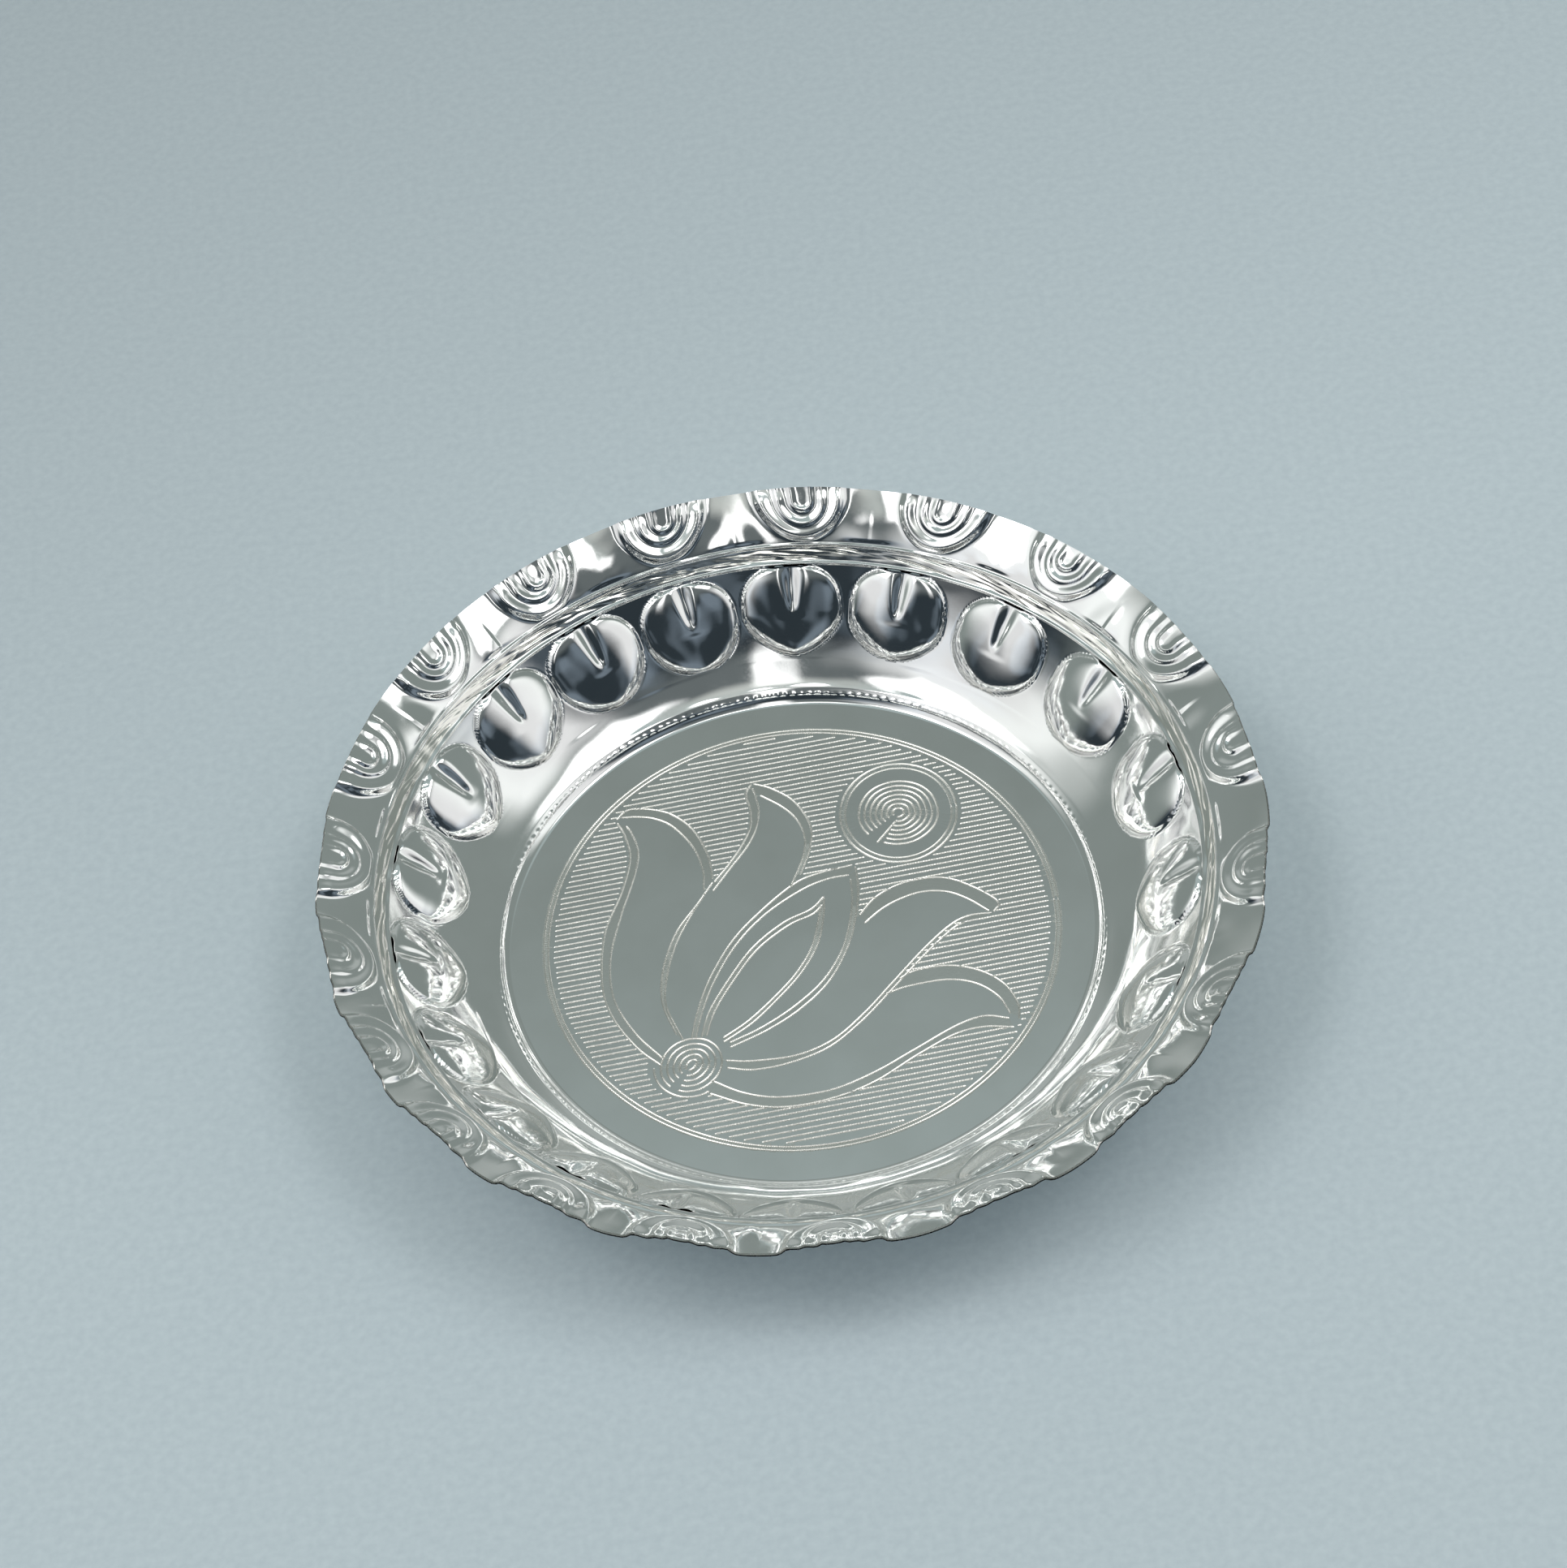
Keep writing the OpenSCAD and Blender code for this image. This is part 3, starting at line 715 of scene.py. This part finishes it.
def stroke_points(line, half, depth, rng):
    """Left side, middle and right side of a wriggle cut: wide and deep at every other point."""
    along = np.gradient(line, axis=0)
    along /= np.linalg.norm(along, axis=1, keepdims=True)
    side = np.stack([-along[:, 1], along[:, 0]], -1)
    beat = np.where(np.arange(len(line)) % 2 == 0, 1.0, 0.72) * rng.uniform(0.95, 1.04, len(line))
    beat[0] = beat[-1] = 0.1
    width = (half * beat)[:, None]
    deep = depth * beat
    deep[0] = deep[-1] = 0
    return line + side * width, line, line - side * width, deep


def lay_strokes(strokes, rng):
    """Points of all cuts, their heights above the face of the disc, and the edges between them."""
    points, heights, edges = [], [], []
    count = 0
    for line, half, depth in strokes:
        left, middle, right, deep = stroke_points(line, half, depth, rng)
        n = len(line)
        first, last = count, count + n - 1
        for end in (first, last):
            edges.append(np.array([[end, end + n], [end + n, end + 2 * n]]))
        for row, z in ((left, np.zeros(n)), (middle, -deep), (right, np.zeros(n))):
            points.append(row)
            heights.append(z)
            index = np.arange(count, count + n - 1)
            edges.append(np.stack([index, index + 1], -1))
            count += n
    return np.concatenate(points), np.concatenate(heights), np.concatenate(edges)


DISC_SIDES = 720


def disc_triangles(points, heights, edges):
    """Triangles of the disc's face with the cuts as edges: points, heights and corner numbers."""
    a = TAU * np.arange(DISC_SIDES) / DISC_SIDES
    rim = MEDALLION_R * np.stack([np.cos(a), np.sin(a)], -1)
    outline = list(range(len(points), len(points) + DISC_SIDES))
    points = np.concatenate([points, rim])
    heights = np.concatenate([heights, np.zeros(DISC_SIDES)])
    verts, _, faces, origin, _, _ = geometry.delaunay_2d_cdt(
        [Vector(point) for point in points], edges.tolist(), [outline], 1, 1e-4, True)
    flat, tri = np.array(verts), np.array(faces)
    z = np.zeros(len(flat))
    for k, source in enumerate(origin):
        if source:
            z[k] = heights[source].min()
    one, two = flat[tri[:, 1]] - flat[tri[:, 0]], flat[tri[:, 2]] - flat[tri[:, 0]]
    flip = one[:, 0] * two[:, 1] - one[:, 1] * two[:, 0] < 0
    tri[flip] = tri[flip][:, ::-1]
    return flat, z, tri


def deepen_crossings(flat, z, strokes, on_rim):
    """Where drawn lines cross or touch other cuts, the deeper one wins."""
    centres = []
    for line, half, depth in strokes:
        line = line[2:-2]
        centres.append(np.column_stack([line, np.full(len(line), half), np.full(len(line), depth)]))
    centres = np.concatenate(centres)
    tree = kdtree.KDTree(len(centres))
    for k, centre in enumerate(centres):
        tree.insert((centre[0], centre[1], 0), k)
    tree.balance()
    for k in np.flatnonzero(~on_rim):
        for _, m, distance in tree.find_range((flat[k, 0], flat[k, 1], 0), 0.12):
            cut = centres[m, 3] * max(0, 1 - distance / centres[m, 2]) * 0.8
            z[k] = min(z[k], -cut)


MIRROR, CUT, MATTE, UNDER = range(4)
LONG_SIDE, CUT_SHOWS = 2, 0.01


def disc_slots(flat, z, tri, scale):
    """Material number of every triangle: matte between paired lines, cut where the face dips."""
    slots = np.full(len(tri), MIRROR)
    middle = flat[tri].mean(1)
    for outer, inner in OUTLINES:
        there = spline(np.array(outer) * scale, 0.6)
        back = spline(np.array(inner) * scale, 0.6)[::-1]
        slots[inside(middle, np.concatenate([there, back]))] = MATTE
    sides = np.linalg.norm(flat[tri] - flat[np.roll(tri, 1, 1)], axis=-1)
    slots[sides.max(1) > LONG_SIDE] = MIRROR
    slots[z[tri].min(1) < -CUT_SHOWS] = CUT
    return slots


def disc_uv(points, shift):
    u = 0.25 + shift + 0.24 * points[:, 0] / MEDALLION_R
    v = 0.5 + 0.48 * points[:, 1] / MEDALLION_R
    return np.stack([u, v], -1)


def medallion():
    """The engraved disc: its face with the cuts, a plain side and a plain back."""
    scale = MEDALLION_R / DRAWN_R
    fine = [(line, CUT_HALF, CUT_DEPTH) for line in hatch_lines(scale)]
    drawn = drawn_strokes(scale)
    rng = np.random.default_rng(SEED + 5)
    flat, z, tri = disc_triangles(*lay_strokes(fine + drawn, rng))
    on_rim = np.hypot(flat[:, 0], flat[:, 1]) > MEDALLION_R - 1e-3
    deepen_crossings(flat, z, drawn, on_rim)

    rim = np.flatnonzero(on_rim)
    rim = rim[np.argsort(np.arctan2(flat[rim, 1], flat[rim, 0]))]
    top = np.column_stack([flat, z + SHEET_T])
    bottom = np.column_stack([flat[rim], np.zeros(len(rim))])
    below = len(top) + np.arange(len(rim))
    side = np.stack([rim, below, np.roll(below, -1), np.roll(rim, -1)], -1)
    back = below[::-1][None, :]
    uvs = np.concatenate([
        disc_uv(flat[tri].reshape(-1, 2), 0),
        np.tile([[0.5, 0.001]], (side.size, 1)),
        disc_uv(flat[rim[::-1]], 0.5),
    ])
    slots = np.concatenate([disc_slots(flat, z, tri, scale), np.full(len(side), MIRROR), [UNDER]])
    make_piece("medallion_disc", np.concatenate([top, bottom]),
               [tri, side, back], None, uvs, slots, ("mirror", "cut", "matte", "under"))


# ---- Pieces -------------------------------------------------------------------------------------

medallion()
ring_piece("floor_ring", DISC, FLOOR, 8, 720, ("mirror", "under"))
ring_piece("foot_step", FLOOR, STEP, 32, 1440, ("mirror", "under"),
           lift=crease_lift)
ring_piece("cove_band", STEP, COVE, 20, 720, ("mirror", "under"), dent=(0.025, 9))
ring_piece("heart_wall", COVE, WALL, 56, HEARTS.count * 64,
           ("chased", "under"), HEARTS.azimuth, heart_lift, dent=(0.012, 5))
ring_piece("shoulder_bead", WALL, BAND, 36, FANS.count * 72,
           ("chased", "under", "groove"), FANS.azimuth, bead_lift, dent=(0.02, 2), groove=0.24)
ring_piece("fan_rim", BAND, EDGE, 44, FANS.count * 72,
           ("chased", "under", "cut"), FANS.azimuth, fan_lift, ruffle, dent=(0.025, 5))

# ---- Stage, light and camera --------------------------------------------------------------------


BACKDROP_HALF = 4.0
CLOTH_DARK, CLOTH_LIGHT = (0.745, 0.84, 0.89), (0.815, 0.91, 0.955)


def stage_floor():
    """The pale blue cloth, with painted shade that darkens it slowly away from the viewer and to the
    left.
    """
    mesh = bpy.data.meshes.new("backdrop")
    half = BACKDROP_HALF
    corners = [(-half, -half, 0), (half, -half, 0), (half, half, 0), (-half, half, 0)]
    mesh.from_pydata(corners, [], [(0, 1, 2, 3)])
    floor = bpy.data.objects.new("backdrop", mesh)
    bpy.context.scene.collection.objects.link(floor)
    material, n, shader = new_material("backdrop_cloth")
    cloth = n.ramp(n.noise(900, 3), (0.3, CLOTH_DARK), (0.7, CLOTH_LIGHT))
    split = n.add("ShaderNodeSeparateXYZ")
    n.link(n.place, split.inputs[0])
    # painted shade: the cloth's colour is multiplied down to 0.55 away from the viewer and towards
    # the left, standing in for light falling off
    away = n.math("SUBTRACT", split.outputs["Y"], n.math("MULTIPLY", split.outputs["X"], 0.4))
    painted_falloff_shade = n.spread(away, 0.02, 0.45, 1.0, 0.55)
    n.link(n.mix(1, cloth, painted_falloff_shade, "MULTIPLY"), shader.inputs["Base Color"])
    shader.inputs["Roughness"].default_value = 0.85
    n.link(n.bumped(n.noise(1600, 2), 0.4, 5e-5), shader.inputs["Normal"])
    mesh.materials.append(material)


def direction(azimuth, elevation):
    a, e = math.radians(azimuth), math.radians(elevation)
    return Vector((math.cos(e) * math.cos(a), math.cos(e) * math.sin(a), math.sin(e)))


# Soft lamps: azimuth and elevation, half width and half height in degrees, softness, radiance
LAMPS = {
    "overhead": (270, 88, 10, 3.2, 0.5, 2.6),
    "high left": (188, 63, 13, 8, 0.3, 2.7),
    "high right": (354, 63, 13, 8, 0.3, 2.7),
    "left": (196, 42, 24, 18, 0.45, 0.74),
    "stripe": (269, 62, 3.0, 13, 0.6, 1.5),
    "right": (347, 30, 14, 20, 0.4, 0.78),
    "behind": (90, 22, 25, 14, 0.4, 0.15),
}
FAR_TONE, FAR_HIGH_TONE = (0.225, 0.262, 0.252), (0.37, 0.44, 0.44)
NEAR_TONE, NEAR_PATCH, NEAR_HIGH_TONE = (0.026, 0.036, 0.044), (0.16, 0.20, 0.24), (0.13, 0.15, 0.155)
TOP_TONE = (0.54, 0.57, 0.55)
UPWARDS, TO_VIEWER = (0, 0, 1), (0, -1, 0)


def surroundings():
    """The room round the plate: even grey beyond it, dark behind the viewer, and soft lamps."""
    world = bpy.data.worlds.new("room")
    bpy.context.scene.world = world
    n = Nodes(world, "Generated")

    def along(axis):
        """How far the ray lies along an axis."""
        dot = n.add("ShaderNodeVectorMath", operation="DOT_PRODUCT")
        n.link(n.place, dot.inputs[0])
        dot.inputs[1].default_value = axis
        return dot.outputs["Value"]

    def soft_step(value, low, high):
        return n.spread(value, low, high, kind="SMOOTHSTEP")

    def lamp(azimuth, elevation, wide, tall, soft):
        """A soft oblong patch of light: 1 in its middle, 0 outside."""
        middle = direction(azimuth, elevation)
        side = direction(azimuth + 90, 0)
        patch = soft_step(along(middle), 0, 0.05)
        for axis, half in ((side, wide), (middle.cross(side), tall)):
            edge = math.sin(math.radians(half))
            off = n.math("ABSOLUTE", along(axis))
            patch = n.math("MULTIPLY", patch, soft_step(off, edge * (1 + soft), edge * (1 - soft)))
        return patch

    height = along(UPWARDS)
    patches = n.spread(n.noise(3.2, 1), 0.5, 0.68)
    near_room = n.mix(patches, NEAR_TONE, NEAR_PATCH)
    near_room = n.mix(soft_step(height, 0.68, 0.82), near_room, NEAR_HIGH_TONE)
    near_room = n.mix(soft_step(height, 0.92, 0.97), near_room, TOP_TONE)
    far_room = n.mix(soft_step(height, 0.78, 0.89), FAR_TONE, FAR_HIGH_TONE)
    room = n.mix(soft_step(along(TO_VIEWER), -0.05, 0.3), far_room, near_room)
    light = 0.0
    for *place, radiance in LAMPS.values():
        light = n.math("ADD", n.math("MULTIPLY", lamp(*place), radiance), light)
    n.link(n.mix(1, room, light, "ADD"), n.tree.nodes["Background"].inputs["Color"])


LENS, SENSOR = 93.2, 36
VIEW_DISTANCE = 0.5056
VIEW_ELEVATION, VIEW_ROLL = 53.84, -7.544
# Where the middle of the floor lies from the middle of the picture: to the right and up, in degrees
AIM_RIGHT, AIM_UP = 0.2514, -2.0864


def camera():
    """The viewer's camera, aimed past the middle of the floor and rolled a little."""
    data = bpy.data.cameras.new("camera")
    data.lens, data.sensor_width = LENS, SENSOR
    data.clip_start, data.clip_end = 0.01, 20
    view = bpy.data.objects.new("camera", data)
    bpy.context.scene.collection.objects.link(view)
    towards = direction(270, VIEW_ELEVATION)
    ahead = -towards
    right = Vector((1, 0, 0))
    up = right.cross(ahead)
    roll = math.radians(VIEW_ROLL)
    rows = Matrix((
        right * math.cos(roll) + up * math.sin(roll),
        up * math.cos(roll) - right * math.sin(roll),
        ahead,
    ))
    aim = Vector((math.tan(math.radians(AIM_RIGHT)), math.tan(math.radians(AIM_UP)), 1)).normalized()
    turn = Vector((0, 0, 1)).rotation_difference(aim).to_matrix()
    rows = turn @ rows
    pose = Matrix((rows[0], rows[1], -rows[2])).transposed().to_4x4()
    pose.translation = towards * VIEW_DISTANCE + Vector((0, 0, SHEET_T * MM))
    view.matrix_world = pose
    bpy.context.scene.camera = view


stage_floor()
surroundings()
camera()
bpy.context.scene.view_settings.view_transform = "Standard"
